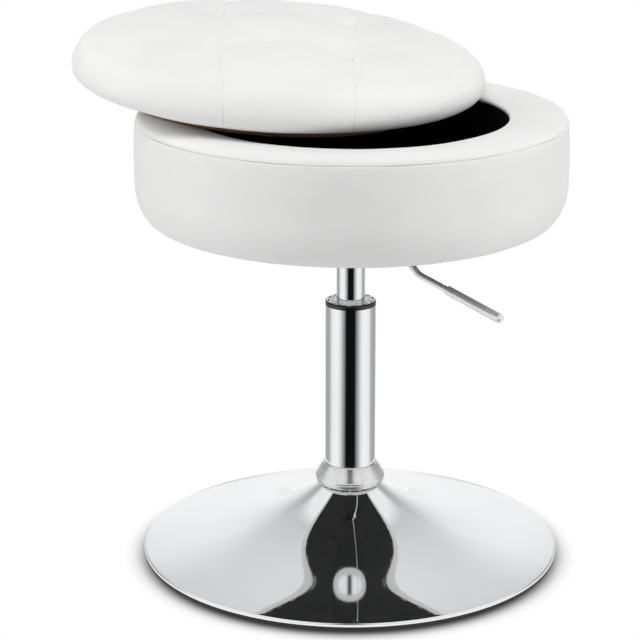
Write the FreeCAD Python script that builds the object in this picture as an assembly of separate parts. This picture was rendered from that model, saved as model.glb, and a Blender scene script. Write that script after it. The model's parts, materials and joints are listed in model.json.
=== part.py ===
import FreeCAD, Part
import math
import os

# A round vanity stool on a gas-lift column: chrome dish base, drum with a store inside, lift-off padded lid.
# Millimetres, +Z up, origin on the column's axis at the floor, the front toward -Y.

# Fits
RUN_FIT = 0.05  # radial clearance of pieces that turn or slide in each other
SLIP_FIT = 0.2  # radial clearance of pieces that only slip over each other
SOFT_GAP = 0.3  # gap between the lid and the soft rim that it lies on

# Base dish and floor ring
BASE_R = 207.0
BASE_SHEET = 1.5
EDGE_ROLL_R = 2.3
FLOOR_GAP = 1.8
NECK_R = 28.5
NECK_Z = 69.5
DISH_EDGE_DEG = 14.6  # fall of the dish where it meets its rolled edge
DISH_MIDDLE_SHARE = 0.503  # share of the dish's rise on an even slope
DISH_EDGE_SHARE = 0.032  # share of the rise in the steeper last part toward the edge
DISH_FLARE_POWER = 4  # how late the flare climbs to the neck
DISH_EDGE_POWER = 7  # how late the slope steepens toward the edge
RING_WIDTH = 6.0
RING_INSET = 0.9
HUB_WALL = 1.8
PLATE_Z = 16.0
PLATE_T = 3.0

# Clear foot ring round the column's foot
FOOT_R = 34.2
FOOT_TOP_R = 26.8
FOOT_H = 19.5
FOOT_WALL = 2.0
FOOT_RIBS = 16
FOOT_RIB_T = 1.2

# Column, guide bush and collar
COLUMN_R = 25.0
COLUMN_WALL = 1.5
COLUMN_Z0 = 14.0
COLUMN_TOP = 254.0
BUSH_LENGTH = 66.0
COLLAR_H = 4.6
COLLAR_ROUND = 1.6
COLLAR_NOTCHES = 12
NOTCH_DEG = 19.0
NOTCH_DEPTH = 1.2

# Gas spring
CYLINDER_R = 14.0
CYLINDER_WALL = 2.0
CYLINDER_L = 231.0
TAPER_L = 25.0
TAPER_FALL = 0.65
ROD_R = 5.0
STUD_R = 4.0
PISTON_Z = 202.0
PISTON_H = 12.0
GUIDE_H = 20.0
SEAL_H = 6.0
VALVE_H = 36.0
END_PLATE_Z = 30.0
END_PLATE_T = 4.0
WASHER_R = 13.0
WASHER_T = 2.0
BALL_R = 2.0
BALL_COUNT = 8
BUMPER_H = 12.0
CLIP_T = 1.6
CLIP_R = 7.0
PIN_R = 2.5
PIN_L = 22.0
PIN_OUT = 4.0

# Seat plate, lever bracket and bolts
SEAT_PLATE = 150.0
SEAT_PLATE_T = 3.0
SOCKET_WALL = 4.5
BOLT_SPAN = 116.0
BOLT_R = 4.0
BOLT_HEAD = 13.0
BOLT_HEAD_H = 5.3
TEE_BARREL_R = 5.0
TEE_FLANGE_R = 11.0
TEE_FLANGE_T = 1.6
EAR_T = 3.0
EAR_GAP = 0.4

# Height lever, in its own upright plane
LEVER_DEG = 42.0
LEVER_ROD_R = 3.2
LEVER_GRIP_R = 4.6
LEVER_PIVOT = 34.0
LEVER_HUB_R = 6.0
LEVER_HUB_W = 12.0
LEVER_BEND_R = 12.0
LEVER_OUTER_DROP = 13.3
LEVER_INNER_DROP = 40.1
LEVER_BEND_S = 87.0
LEVER_BEND_FALL = 31.8
LEVER_REACH = 189.0
LEVER_GRIP_L = 68.0
LEVER_TAIL = 6.0
LEVER_PIN_GAP = 0.1

# Drum
DRUM_R = 208.5
DRUM_BOTTOM = 342.5
DRUM_H = 104.6
DRUM_ROUND_R = 22.0
DRUM_ROUND_H = 40.0
DRUM_SIDE_TOP = 83.0
COVER_T = 1.2
BOARD_T = 12.0
WALL_T = 4.0
WALL_INSET = 0.5
TURN_IN = 8.0
POSTS = 6
POST_W = 40.0
POST_GAP = 2.0

# Soft rim of the drum
RIM_WIDTH = 58.0
OPENING_R = DRUM_R - RIM_WIDTH
RIM_CROWN_R = 160.0
RIM_CREST_SHARE = 0.62
RIM_OUTER_ROUND = 8.0
RIM_INNER_ROUND = 3.0
RIM_SEAM_INSET = 1.1
RIM_SEAM_DEG = 85.0
RIM_STEP = 4.0

# Lid, in its own frame: z 0 is the underside of its board
LID_INSET = 6.5
LID_R = DRUM_R - LID_INSET
LID_EQUATOR = 14.0
LID_UNDER = 43.0
LID_SIDE = 40.0
LID_SIDE_H = 33.0
LID_CROWN_DEG = 12.4
LID_COVER_T = 2.0
LID_BOARD_T = 12.0
LID_TURN_GAP = 2.0
PLUG_FIT = 2.5
PLUG_T = 13.2
PLUG_EDGE = 1.5
TUFT_HALF = 66.0
TUFT_SHIFT_X = 5.0
TUFT_SHIFT_Y = -5.0
TUFT_FLAT_R = 5.0
TUFT_ROUND = 25.0
TUFT_SINK = 0.8
SEAM_WIDTH = 2.4
SEAM_DEPTH = 1.1
TIE_R = 1.2
TIE_WASHER_R = 9.0
SCREW_RING = 105.0
SCREW_R = 2.2
SCREW_HEAD_R = 4.5
SCREW_BITE = 8.0

# Where the lid lies on the rim
LID_X = -71.5
LID_Y = 54.0
LID_ROLL = 3.2
LID_PITCH = 2.5

ORIGIN = FreeCAD.Vector(0, 0, 0)
UP = FreeCAD.Vector(0, 0, 1)
pieces = {}


def at(r, z):
    return FreeCAD.Vector(r, 0, z)


def path(points):
    """Straight edges through points of the r-z plane."""
    return [Part.LineSegment(at(*a), at(*b)).toShape() for a, b in zip(points, points[1:])]


def arc(start, middle, end):
    return Part.Arc(at(*start), at(*middle), at(*end)).toShape()


def swing(centre, radius, deg0, deg1):
    """Circular arc about a centre in the r-z plane, angles from the upright, positive outward."""
    def spot(deg):
        turn = math.radians(deg)
        return (centre[0] + radius * math.sin(turn), centre[1] + radius * math.cos(turn))
    return arc(spot(deg0), spot((deg0 + deg1) / 2), spot(deg1))


def oval(centre, half_r, half_z, deg0, deg1):
    """Part of an ellipse in the r-z plane, angles from the +r axis toward +z."""
    r, z = centre
    if half_r >= half_z:
        curve = Part.Ellipse(at(r + half_r, z), at(r, z + half_z), at(r, z))
        shift = 0
    else:
        curve = Part.Ellipse(at(r, z + half_z), at(r - half_r, z), at(r, z))
        shift = 90
    return Part.ArcOfEllipse(curve, math.radians(deg0 - shift), math.radians(deg1 - shift)).toShape()


def turned(edges):
    """Solid of revolution about Z from a closed outline."""
    solid = Part.Face(Part.Wire(Part.__sortEdges__(edges))).revolve(ORIGIN, UP, 360)
    if solid.Volume < 0:
        solid.reverse()
    return solid


def lathe(points):
    return turned(path(points + points[:1]))


def rod(r, z0, z1, x=0, y=0):
    return Part.makeCylinder(r, z1 - z0, FreeCAD.Vector(x, y, z0))


def tube(r0, r1, z0, z1):
    return lathe([(r0, z0), (r1, z0), (r1, z1), (r0, z1)])


def block(x0, x1, y0, y1, z0, z1):
    return Part.makeBox(x1 - x0, y1 - y0, z1 - z0, FreeCAD.Vector(x0, y0, z0))


def spun(shape, deg):
    return shape.rotated(ORIGIN, UP, deg)


def around(shape, count, start=0):
    return [spun(shape, start + 360 * i / count) for i in range(count)]


# Base

roll_centre = (BASE_R - EDGE_ROLL_R, FLOOR_GAP + EDGE_ROLL_R)
edge_turn = math.radians(DISH_EDGE_DEG)
edge_spot = (roll_centre[0] + EDGE_ROLL_R * math.sin(edge_turn), roll_centre[1] + EDGE_ROLL_R * math.cos(edge_turn))
dish_run = edge_spot[0] - NECK_R
dish_rise = NECK_Z - edge_spot[1]
neck_top = NECK_Z + BASE_SHEET
column_hole = COLUMN_R + SLIP_FIT


def dish_height(r):
    """Height of the dish's upper face: an even slope, a flare up to the neck, a steeper last part at the edge."""
    share = (edge_spot[0] - r) / dish_run
    flare = (1 - DISH_MIDDLE_SHARE - DISH_EDGE_SHARE) * share ** DISH_FLARE_POWER
    edge = DISH_EDGE_SHARE * (1 - (1 - share) ** DISH_EDGE_POWER)
    return edge_spot[1] + dish_rise * (DISH_MIDDLE_SHARE * share + flare + edge)


def dish_fall(r):
    return (dish_height(r - 0.01) - dish_height(r + 0.01)) / 0.02


def dish_spot(r, inset):
    """Point of the dish's upper face at a radius, moved square to it into the sheet."""
    fall = dish_fall(r)
    length = math.sqrt(1 + fall ** 2)
    return (r - inset * fall / length, dish_height(r) - inset / length)


def dish_curve(inset, count=24):
    """Smooth edge along the dish's face from the neck to the edge, and its two ends."""
    spots = [dish_spot(NECK_R + dish_run * i / count, inset) for i in range(count + 1)]
    curve = Part.BSplineCurve()
    curve.interpolate([at(*spot) for spot in spots])
    return curve.toShape(), spots[0], spots[-1]


def under_height(r):
    """Height of the sheet's lower face at a radius."""
    return dish_height(r) - BASE_SHEET * math.sqrt(1 + dish_fall(r) ** 2)


def dish_radius(height, inset):
    """Radius where the inset dish face has a height."""
    inner, outer = NECK_R, edge_spot[0]
    for _ in range(40):
        middle = (inner + outer) / 2
        if dish_spot(middle, inset)[1] > height:
            inner = middle
        else:
            outer = middle
    return dish_spot(inner, inset)[0]


dish_top, top_start, top_end = dish_curve(0)
dish_under, under_start, under_end = dish_curve(BASE_SHEET)
roll_low = (roll_centre[0], FLOOR_GAP)
pieces["base_dish"] = turned(
    path([under_start, (column_hole, under_start[1]), (column_hole, neck_top), (NECK_R, neck_top), top_start])
    + [dish_top, dish_under, arc(top_end, (BASE_R, roll_centre[1]), roll_low)]
    + path([roll_low, under_end])
)
ring_r0 = roll_centre[0] - RING_WIDTH
ring_r1 = roll_low[0] - SLIP_FIT
pieces["floor_ring"] = lathe([
    (ring_r0, 0), (BASE_R - RING_INSET, 0), (BASE_R - RING_INSET, FLOOR_GAP), (ring_r1, FLOOR_GAP),
    (ring_r1, under_height(ring_r1) - SLIP_FIT), (ring_r0, under_height(ring_r0) - SLIP_FIT),
])
plate_top = PLATE_Z + PLATE_T
plate_r = dish_radius(plate_top, BASE_SHEET) - SLIP_FIT
pieces["base_plate"] = tube(COLUMN_R, plate_r, PLATE_Z, plate_top)
pieces["base_hub"] = tube(COLUMN_R, COLUMN_R + HUB_WALL, plate_top, under_start[1])


def foot_bell(inset, height):
    """Low edge, side edges and upper edge of the foot ring's cone, moved inward, up to a height."""
    low = (FOOT_R - 1.0 - inset, neck_top)
    bulge = (FOOT_R + 0.3 - inset, neck_top + 0.18 * FOOT_H)
    waist = (FOOT_R - inset, neck_top + 0.36 * FOOT_H)
    share = (height / FOOT_H - 0.36) / 0.64
    high = (waist[0] + share * (FOOT_TOP_R - FOOT_R), neck_top + height)
    return low, [arc(low, bulge, waist)] + path([waist, high]), high


foot_low, foot_side, foot_high = foot_bell(0, FOOT_H)
foot_solid = turned(foot_side + path([
    foot_high, (column_hole, foot_high[1]), (column_hole, neck_top), foot_low]))
cave_low, cave_side, cave_high = foot_bell(FOOT_WALL, 0.7 * FOOT_H)
cave_r = column_hole + 0.5 * FOOT_WALL
cave = turned(cave_side + path([cave_high, (cave_r, cave_high[1]), (cave_r, neck_top), cave_low]))
rib = block(COLUMN_R, FOOT_R + 2, -FOOT_RIB_T / 2, FOOT_RIB_T / 2, neck_top, neck_top + FOOT_H)
pieces["foot_ring"] = foot_solid.cut(cave.cut(Part.makeCompound(around(rib, FOOT_RIBS))))

# Column

bore_r = COLUMN_R - COLUMN_WALL
sleeve_r = CYLINDER_R + RUN_FIT
collar_top = COLUMN_TOP + COLLAR_H
pieces["column_tube"] = tube(bore_r, COLUMN_R, COLUMN_Z0, COLUMN_TOP)
washer_seat = collar_top - 0.8
washer_r0 = CYLINDER_R + 2.0
washer_r1 = COLUMN_R - 4.7
collar = turned(
    path([(bore_r, COLUMN_TOP), (COLUMN_R, COLUMN_TOP), (COLUMN_R, collar_top - COLLAR_ROUND)])
    + [swing((COLUMN_R - COLLAR_ROUND, collar_top - COLLAR_ROUND), COLLAR_ROUND, 90, 0)]
    + path([(COLUMN_R - COLLAR_ROUND, collar_top), (washer_r1, collar_top), (washer_r1, washer_seat),
            (washer_r0, washer_seat), (washer_r0, collar_top), (sleeve_r, collar_top),
            (sleeve_r, COLUMN_TOP - BUSH_LENGTH), (bore_r, COLUMN_TOP - BUSH_LENGTH), (bore_r, COLUMN_TOP)])
)
notch_face = Part.Face(Part.Wire(path([
    (COLUMN_R - 3.9, collar_top - NOTCH_DEPTH), (COLUMN_R - 2.4, collar_top - NOTCH_DEPTH),
    (COLUMN_R - 2.4, collar_top + 1), (COLUMN_R - 3.9, collar_top + 1),
    (COLUMN_R - 3.9, collar_top - NOTCH_DEPTH)])))
notch = notch_face.revolve(ORIGIN, UP, NOTCH_DEG)
pieces["guide_bush"] = collar.cut(Part.makeCompound(around(notch, COLLAR_NOTCHES)))
pieces["collar_washer"] = tube(washer_r0, washer_r1, washer_seat, washer_seat + 0.7)

# Thrust bearing at the foot of the gas spring

end_plate_top = END_PLATE_Z + END_PLATE_T
ball_z = end_plate_top + WASHER_T + BALL_R
upper_washer_z = ball_z + BALL_R + RUN_FIT
shoulder_z = upper_washer_z + WASHER_T
ball_ring = (STUD_R + WASHER_R) / 2
clip_z = END_PLATE_Z - RUN_FIT - CLIP_T
clip_groove_r = STUD_R - 0.7

pieces["end_plate"] = tube(STUD_R + RUN_FIT, bore_r, END_PLATE_Z, end_plate_top)
pieces["thrust_washer_lower"] = tube(STUD_R + SLIP_FIT, WASHER_R, end_plate_top, end_plate_top + WASHER_T)
balls = around(Part.makeSphere(BALL_R, FreeCAD.Vector(ball_ring, 0, ball_z)), BALL_COUNT)
pockets = around(rod(BALL_R + RUN_FIT, ball_z - BALL_R, ball_z + BALL_R, ball_ring), BALL_COUNT)
cage = tube(STUD_R + 1, WASHER_R - 0.5, ball_z - 0.4 * BALL_R, ball_z + 0.4 * BALL_R)
pieces["bearing_cage"] = cage.cut(Part.makeCompound(pockets))
pieces["bearing_balls"] = Part.makeCompound(balls)

# Rod body

piston_top = PISTON_Z + PISTON_H
cylinder_bore = CYLINDER_R - CYLINDER_WALL
pieces["thrust_washer_upper"] = tube(STUD_R, WASHER_R, upper_washer_z, shoulder_z)
pieces["bumper"] = tube(ROD_R, WASHER_R - 1, shoulder_z, shoulder_z + BUMPER_H)
pieces["piston_rod"] = lathe([
    (0, clip_z - 3), (STUD_R, clip_z - 3), (STUD_R, clip_z), (clip_groove_r, clip_z),
    (clip_groove_r, clip_z + CLIP_T), (STUD_R, clip_z + CLIP_T), (STUD_R, shoulder_z),
    (ROD_R, shoulder_z), (ROD_R, piston_top), (0, piston_top),
])
pieces["rod_clip"] = tube(clip_groove_r, CLIP_R, clip_z, clip_z + CLIP_T)
pieces["piston"] = tube(ROD_R, cylinder_bore - RUN_FIT, PISTON_Z, piston_top)

# Seat heights, from the drum's underside down

plate_z1 = DRUM_BOTTOM
plate_z0 = plate_z1 - SEAT_PLATE_T
lever_z = plate_z0 - LEVER_HUB_R - 1.5
cylinder_top = lever_z - LEVER_ROD_R - LEVER_PIN_GAP - PIN_OUT
cylinder_z0 = cylinder_top - CYLINDER_L
socket_z0 = cylinder_top - TAPER_L
taper_top_r = CYLINDER_R - TAPER_FALL

pieces["gas_cylinder"] = lathe([
    (cylinder_bore, cylinder_z0), (CYLINDER_R, cylinder_z0), (CYLINDER_R, socket_z0),
    (taper_top_r, cylinder_top), (cylinder_bore, cylinder_top),
])
pieces["rod_guide"] = tube(ROD_R + RUN_FIT, cylinder_bore, cylinder_z0, cylinder_z0 + GUIDE_H)
pieces["gas_seal"] = tube(
    ROD_R + RUN_FIT, cylinder_bore, cylinder_z0 + GUIDE_H, cylinder_z0 + GUIDE_H + SEAL_H)
pieces["valve_body"] = tube(PIN_R + RUN_FIT, cylinder_bore, cylinder_top - VALVE_H, cylinder_top)
pin_top = cylinder_top + PIN_OUT
pieces["release_pin"] = turned(
    path([(PIN_R, pin_top - PIN_R), (PIN_R, pin_top - PIN_L), (0, pin_top - PIN_L), (0, pin_top)])
    + [swing((0, pin_top - PIN_R), PIN_R, 0, 90)]
)

socket_r = CYLINDER_R + SOCKET_WALL
window_r = LEVER_ROD_R + 1.5
socket = lathe([
    (CYLINDER_R, socket_z0), (socket_r, socket_z0), (socket_r, plate_z0), (taper_top_r, plate_z0),
    (taper_top_r, cylinder_top),
])
window = block(0, socket_r + 5, -window_r, window_r, lever_z - LEVER_ROD_R - 2.4, plate_z0 + 1)
pieces["taper_socket"] = socket.cut(spun(window, -LEVER_DEG))

half_plate = SEAT_PLATE / 2
bolt_spots = [(x * BOLT_SPAN / 2, y * BOLT_SPAN / 2) for x in (-1, 1) for y in (-1, 1)]


def drilled(shape, r, z0, z1):
    return shape.cut(Part.makeCompound([rod(r, z0, z1, x, y) for x, y in bolt_spots]))


plate = block(-half_plate, half_plate, -half_plate, half_plate, plate_z0, plate_z1)
plate_corners = [e for e in plate.Edges if abs(e.Length - SEAT_PLATE_T) < 1e-6]
plate = plate.makeFillet(0.1 * SEAT_PLATE, plate_corners)
pieces["seat_plate"] = drilled(plate, BOLT_R + 2 * SLIP_FIT, plate_z0 - 1, plate_z1 + 1)

# Lever bracket and lever

ear_in = LEVER_HUB_W / 2 + EAR_GAP
ear_half = LEVER_HUB_R + 1.0


def cross_rod(r, half_length):
    """Cylinder across the lever's plane at its pivot."""
    return Part.makeCylinder(
        r, 2 * half_length, FreeCAD.Vector(LEVER_PIVOT, -half_length, lever_z), FreeCAD.Vector(0, 1, 0))


ears = []
for side in (-1, 1):
    y0, y1 = sorted((side * ear_in, side * (ear_in + EAR_T)))
    cheek = block(LEVER_PIVOT - ear_half, LEVER_PIVOT + ear_half, y0, y1, lever_z, plate_z0)
    nose = Part.makeCylinder(ear_half, EAR_T, FreeCAD.Vector(LEVER_PIVOT, y0, lever_z), FreeCAD.Vector(0, 1, 0))
    ears.append(cheek.fuse(nose).removeSplitter().cut(cross_rod(PIN_R, ear_in + EAR_T + 1)))
pieces["bracket_ears"] = spun(Part.makeCompound(ears), -LEVER_DEG)
pieces["pivot_pin"] = spun(cross_rod(PIN_R, ear_in + EAR_T + 1.5), -LEVER_DEG)

bend_z = lever_z - LEVER_BEND_FALL
knee_s = LEVER_BEND_S - LEVER_BEND_FALL / math.tan(math.radians(LEVER_INNER_DROP))
tip_z = bend_z - (LEVER_REACH - LEVER_BEND_S) * math.tan(math.radians(LEVER_OUTER_DROP))


def rounded_path(corners, radius):
    """Edges of a path with a round at each inner corner."""
    edges = []
    start = corners[0]
    for before, corner, after in zip(corners, corners[1:], corners[2:]):
        into = (corner - before).normalize()
        out = (after - corner).normalize()
        turn = into.getAngle(out)
        reach = radius * math.tan(turn / 2)
        first = corner - into * reach
        last = corner + out * reach
        middle = corner + (out - into).normalize() * (radius / math.cos(turn / 2) - radius)
        edges += [Part.LineSegment(start, first).toShape(), Part.Arc(first, middle, last).toShape()]
        start = last
    return edges + [Part.LineSegment(start, corners[-1]).toShape()]


knee = at(knee_s, lever_z)
bend = at(LEVER_BEND_S, bend_z)
tip = at(LEVER_REACH, tip_z)
outward = (tip - bend).normalize()
rod_end = tip - outward * LEVER_GRIP_R
lever_wire = Part.Wire(rounded_path([at(-LEVER_TAIL, lever_z), knee, bend, rod_end], LEVER_BEND_R))
rod_ring = Part.Wire(Part.makeCircle(LEVER_ROD_R, at(-LEVER_TAIL, lever_z), FreeCAD.Vector(1, 0, 0)))
lever_bar = lever_wire.makePipeShell([rod_ring], True, False)
lever_hub = cross_rod(LEVER_HUB_R, LEVER_HUB_W / 2)
lever = lever_bar.fuse(lever_hub).cut(cross_rod(PIN_R + RUN_FIT, LEVER_HUB_W))
pieces["lever_rod"] = spun(lever, -LEVER_DEG)
grip_start = tip - outward * LEVER_GRIP_L
grip_core = LEVER_GRIP_L - LEVER_GRIP_R
grip = Part.makeCylinder(LEVER_GRIP_R, grip_core, grip_start, outward)
grip = grip.fuse(Part.makeSphere(LEVER_GRIP_R, rod_end)).removeSplitter()
grip = grip.cut(Part.makeCylinder(LEVER_ROD_R, grip_core, grip_start, outward))
pieces["lever_grip"] = spun(grip, -LEVER_DEG)

# Drum frame

floor_z0 = DRUM_BOTTOM + COVER_T
floor_z1 = floor_z0 + BOARD_T
wall_r = DRUM_R - DRUM_ROUND_R - WALL_INSET
lining_r = OPENING_R + COVER_T
inner_wall_r = lining_r + WALL_T
round_z = DRUM_BOTTOM + DRUM_ROUND_H
side_top = DRUM_BOTTOM + DRUM_SIDE_TOP
round_centre = (DRUM_R - DRUM_ROUND_R, round_z)

crest_r = OPENING_R + RIM_CREST_SHARE * (DRUM_R - OPENING_R)
crest_z = DRUM_BOTTOM + DRUM_H
crown_centre = (crest_r, crest_z - RIM_CROWN_R)
seam_turn = math.radians(RIM_SEAM_DEG)
seam_r = DRUM_R - RIM_SEAM_INSET
crown_out = (seam_r - RIM_OUTER_ROUND * math.sin(seam_turn) - crest_r) / (RIM_CROWN_R - RIM_OUTER_ROUND)
crown_in = (crest_r - OPENING_R - RIM_INNER_ROUND) / (RIM_CROWN_R - RIM_INNER_ROUND)
out_deg = math.degrees(math.asin(crown_out))
in_deg = math.degrees(math.asin(crown_in))


def crown_point(radius, deg):
    turn = math.radians(deg)
    return (crown_centre[0] + radius * math.sin(turn), crown_centre[1] + radius * math.cos(turn))


outer_centre = crown_point(RIM_CROWN_R - RIM_OUTER_ROUND, out_deg)
inner_centre = crown_point(RIM_CROWN_R - RIM_INNER_ROUND, -in_deg)
seam_z = outer_centre[1] + RIM_OUTER_ROUND * math.cos(seam_turn)
lining_top = inner_centre[1]
rim_board_z1 = seam_z - RIM_STEP
rim_board_z0 = rim_board_z1 - BOARD_T

bolt_z1 = floor_z1 - 0.8
floor_board = drilled(rod(wall_r, floor_z0, floor_z1), TEE_BARREL_R, floor_z0 - 1, floor_z1 + 1)
pieces["drum_floor"] = drilled(floor_board, TEE_FLANGE_R, floor_z1 - TEE_FLANGE_T, floor_z1 + 1)
tee = lathe([
    (BOLT_R, floor_z0 + 3), (TEE_BARREL_R, floor_z0 + 3), (TEE_BARREL_R, floor_z1 - TEE_FLANGE_T),
    (TEE_FLANGE_R, floor_z1 - TEE_FLANGE_T), (TEE_FLANGE_R, floor_z1), (BOLT_R, floor_z1),
])
pieces["tee_nuts"] = Part.makeCompound([tee.translated(FreeCAD.Vector(x, y, 0)) for x, y in bolt_spots])
head_ring = [
    FreeCAD.Vector(BOLT_HEAD / math.sqrt(3) * math.cos(i * math.pi / 3),
                   BOLT_HEAD / math.sqrt(3) * math.sin(i * math.pi / 3), plate_z0 - BOLT_HEAD_H)
    for i in range(7)
]
head = Part.Face(Part.makePolygon(head_ring)).extrude(FreeCAD.Vector(0, 0, BOLT_HEAD_H))
bolt = head.fuse(rod(BOLT_R, plate_z0, bolt_z1))
pieces["plate_bolts"] = Part.makeCompound([bolt.translated(FreeCAD.Vector(x, y, 0)) for x, y in bolt_spots])
pieces["drum_wall"] = tube(wall_r - WALL_T, wall_r, floor_z1, rim_board_z0)
pieces["inner_wall"] = tube(lining_r, inner_wall_r, floor_z1, rim_board_z0)
pieces["rim_board"] = tube(lining_r, wall_r, rim_board_z0, rim_board_z1)
post_r0 = inner_wall_r + POST_GAP
post_r1 = math.sqrt((wall_r - WALL_T) ** 2 - (POST_W / 2) ** 2) - POST_GAP
post = block(post_r0, post_r1, -POST_W / 2, POST_W / 2, floor_z1, rim_board_z0)
pieces["wall_posts"] = Part.makeCompound(around(post, POSTS, 30))

# Drum padding and covers


def seam_spot(inset):
    """Point of the seam between side and rim, moved inward, and its angle on the rim's outer round."""
    radius = RIM_OUTER_ROUND - inset
    turn = math.acos((seam_z - outer_centre[1]) / radius)
    return (outer_centre[0] + radius * math.sin(turn), seam_z), math.degrees(turn)


def side_line(inset):
    """Edges of the drum's side from its underside up to the seam, moved inward."""
    foot = (DRUM_R - DRUM_ROUND_R, DRUM_BOTTOM + inset)
    low = (DRUM_R - inset, round_z)
    high = (DRUM_R - inset, side_top)
    swell = (DRUM_R - 0.2 * RIM_SEAM_INSET - inset, (side_top + seam_z) / 2)
    seam = seam_spot(inset)[0]
    edges = [oval(round_centre, DRUM_ROUND_R - inset, DRUM_ROUND_H - inset, 270, 360)]
    return foot, edges + path([low, high]) + [arc(high, swell, seam)], seam


def rim_line(inset):
    """Edges of the rim from the seam over its crest to the opening, moved inward."""
    start, start_deg = seam_spot(inset)
    edges = [
        swing(outer_centre, RIM_OUTER_ROUND - inset, start_deg, out_deg),
        swing(crown_centre, RIM_CROWN_R - inset, out_deg, -in_deg),
        swing(inner_centre, RIM_INNER_ROUND - inset, -in_deg, -90),
    ]
    return start, edges, (OPENING_R + inset, lining_top)


turn_r = DRUM_R - DRUM_ROUND_R - TURN_IN
out_foot, out_side, out_seam = side_line(0)
in_foot, in_side, in_seam = side_line(COVER_T)
pieces["side_cover"] = turned(
    path([(turn_r, floor_z0), (turn_r, DRUM_BOTTOM), out_foot]) + out_side
    + path([out_seam, in_seam]) + in_side + path([in_foot, (turn_r, floor_z0)])
)
pieces["side_pad"] = turned(
    path([in_seam, (wall_r, seam_z), (wall_r, floor_z0), in_foot]) + in_side
)
rim_start, rim_out, rim_end = rim_line(0)
pad_start, rim_in, pad_end = rim_line(COVER_T)
pieces["rim_cover"] = turned(
    path([pad_start, rim_start]) + rim_out + path([rim_end, pad_end]) + rim_in
)
pieces["rim_pad"] = turned(
    rim_in + path([pad_end, (lining_r, rim_board_z1), (wall_r, rim_board_z1), (wall_r, seam_z), pad_start])
)
lining_z = floor_z1 + COVER_T
pieces["liner_floor"] = rod(lining_r, floor_z1, lining_z)
pieces["liner_wall"] = tube(OPENING_R, lining_r, lining_z, lining_top)
dust_cover = rod(turn_r, DRUM_BOTTOM, floor_z0)
pieces["dust_cover"] = drilled(dust_cover, BOLT_R + 1, DRUM_BOTTOM - 1, floor_z0 + 1)

# Lid, built flat and then laid on the rim

plug_r = OPENING_R - PLUG_FIT
board_r = LID_R - LID_UNDER
crown_turn = math.radians(LID_CROWN_DEG)


def lid_body(inset):
    """Cushion solid with its sewn tufts, moved inward."""
    side = LID_SIDE - inset
    rise = LID_SIDE_H - inset
    end = math.atan(rise / (side * math.tan(crown_turn)))
    shoulder = (LID_R - LID_SIDE + side * math.cos(end), LID_EQUATOR + rise * math.sin(end))
    crown_r = shoulder[0] / math.sin(crown_turn)
    crown_z = shoulder[1] - crown_r * math.cos(crown_turn)
    under = LID_EQUATOR + LID_COVER_T - inset
    low_z = inset - LID_COVER_T
    body = turned(
        path([(0, crown_z + crown_r), (0, low_z), (board_r, low_z)])
        + [oval((board_r, LID_EQUATOR), LID_UNDER - inset, under, 270, 360),
           oval((LID_R - LID_SIDE, LID_EQUATOR), side, rise, 0, math.degrees(end)),
           swing((0, crown_z), crown_r, LID_CROWN_DEG, 0)]
    )
    return body, crown_r, crown_z


outer_lid, top_r, top_z = lid_body(0)
tuft_columns = [TUFT_SHIFT_X - TUFT_HALF, TUFT_SHIFT_X + TUFT_HALF]
tuft_rows = [TUFT_SHIFT_Y - TUFT_HALF, TUFT_SHIFT_Y + TUFT_HALF]
tufts = [(x, y) for x in tuft_columns for y in tuft_rows]
funnel_r = TUFT_ROUND + 1.0
funnel_h = TUFT_SINK - TUFT_ROUND
flat_drop = math.sqrt(TUFT_ROUND ** 2 - (funnel_r - TUFT_FLAT_R) ** 2)
tuft_floor = funnel_h + flat_drop


def tuft_cutter(inset):
    """Funnels pressed into the crown at the tufts, each standing on the crown's own normal."""
    tube_r = TUFT_ROUND - inset
    base = tuft_floor - inset
    reach = funnel_r - math.sqrt(tube_r ** 2 - (base - funnel_h) ** 2)
    lean = math.degrees(math.asin((reach - funnel_r) / tube_r))
    top = funnel_h + tube_r
    cutter = turned(
        [swing((funnel_r, funnel_h), tube_r, lean, 0)]
        + path([(funnel_r, top), (funnel_r, 3 * TUFT_ROUND), (0, 3 * TUFT_ROUND), (0, base), (reach, base)])
    )
    cutter.translate(FreeCAD.Vector(0, 0, top_r))
    cutters = []
    for x, y in tufts:
        tuft_lean = math.degrees(math.asin(math.hypot(x, y) / top_r))
        leaning = cutter.rotated(ORIGIN, FreeCAD.Vector(0, 1, 0), tuft_lean)
        leaning.rotate(ORIGIN, UP, math.degrees(math.atan2(y, x)))
        cutters.append(leaning.translated(FreeCAD.Vector(0, 0, top_z)))
    return Part.makeCompound(cutters)


seam_body = lid_body(SEAM_DEPTH)[0]
seam_slabs = []
seam_low, seam_high = LID_EQUATOR / 2, top_z + top_r + 1
for x in tuft_columns:
    seam_slabs.append(block(x - SEAM_WIDTH / 2, x + SEAM_WIDTH / 2, -LID_R, LID_R, seam_low, seam_high))
for y in tuft_rows:
    seam_slabs.append(block(*tuft_columns, y - SEAM_WIDTH / 2, y + SEAM_WIDTH / 2, seam_low, seam_high))
seam_grid = seam_slabs[0].multiFuse(seam_slabs[1:]).cut(seam_body)
foam_body = lid_body(LID_COVER_T)[0].cut(tuft_cutter(LID_COVER_T))
cover = outer_lid.cut(seam_grid).cut(tuft_cutter(0)).cut(foam_body)
under_hole = rod(plug_r + LID_TURN_GAP, -LID_COVER_T - 1, 0.0)
lid_pieces = {"lid_cover": cover.cut(under_hole)}

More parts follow.
